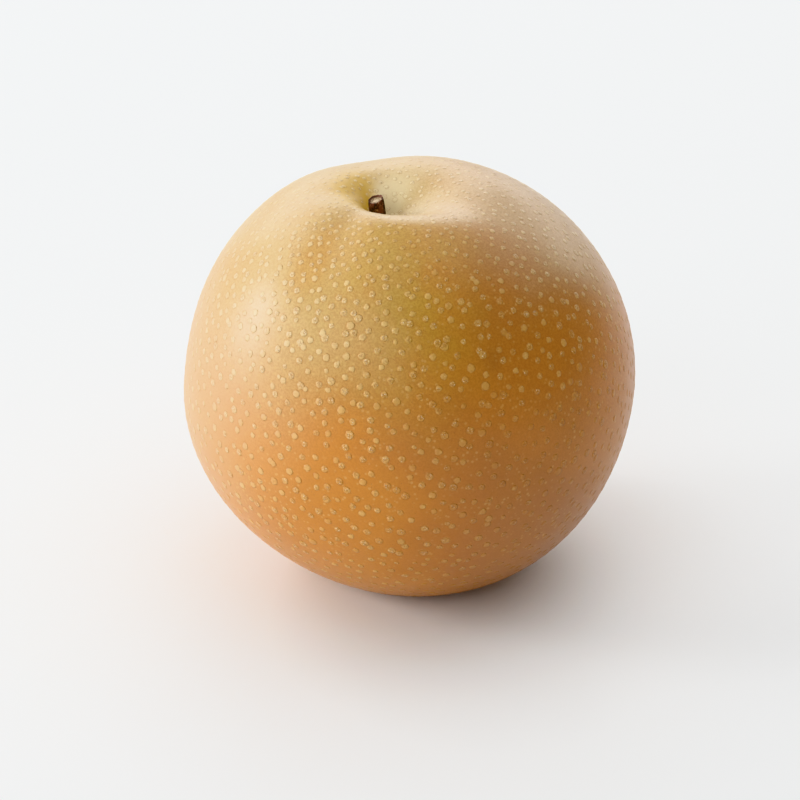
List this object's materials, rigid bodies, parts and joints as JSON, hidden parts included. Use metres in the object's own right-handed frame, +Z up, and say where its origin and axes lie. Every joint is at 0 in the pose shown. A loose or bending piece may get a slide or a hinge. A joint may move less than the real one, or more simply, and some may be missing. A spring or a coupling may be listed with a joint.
{
  "type": "nashi pear",
  "caption": "Round russet-skinned nashi pear with pale raised lenticels, a short cut stalk in a funnel hollow and a shallow calyx basin to stand on.",
  "frame": {"origin": "middle of the footprint box, on the plane of the flat ring that the pear rests on", "axes": "+Z up from the calyx end to the stalk end; -Y towards the side that the picture shows, +X to its right"},
  "size_m": [0.092, 0.0922, 0.0843],
  "materials": {
    "skin": "smooth satin russet skin with fine pale dots",
    "bark": "dull dark brown bark with a pale cut end"
  },
  "bodies": {
    "root": {"fruit": "skin", "stalk": "bark"}
  },
  "joints": []
}
